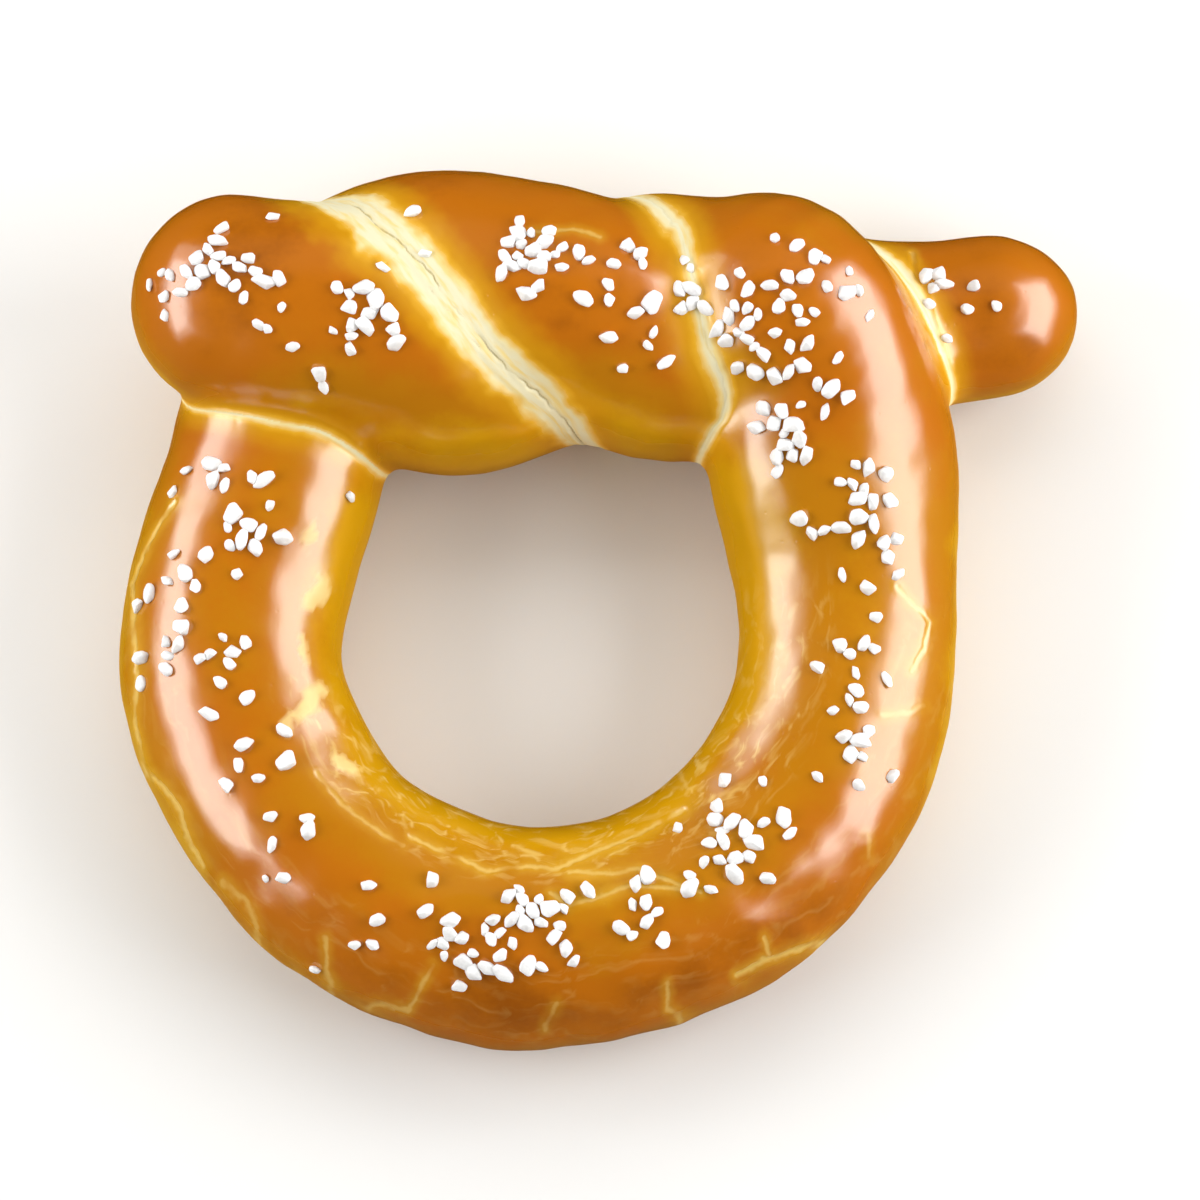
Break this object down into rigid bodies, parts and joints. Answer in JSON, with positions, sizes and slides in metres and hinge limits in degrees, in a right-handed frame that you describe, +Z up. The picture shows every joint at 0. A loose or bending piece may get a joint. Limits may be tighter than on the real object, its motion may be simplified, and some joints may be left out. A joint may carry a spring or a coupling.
{
  "type": "soft pretzel",
  "caption": "Salted soft pretzel: a ring of glossy baked dough whose two ends are wound round each other in a thick twist with a rounded tip at each side.",
  "frame": {"origin": "middle of the outline seen from above, on the surface that the pretzel lies on", "axes": "+Z up out of the salted side, +X along the twist towards its slimmer tip, +Y from the foot of the ring to the twist"},
  "size_m": [0.1493, 0.1372, 0.0431],
  "materials": {
    "crust": "glossy amber-brown baked crust, pale stretched dough in the folds, white coarse salt on the crown"
  },
  "bodies": {
    "root": {"pretzel": "crust"}
  },
  "joints": []
}
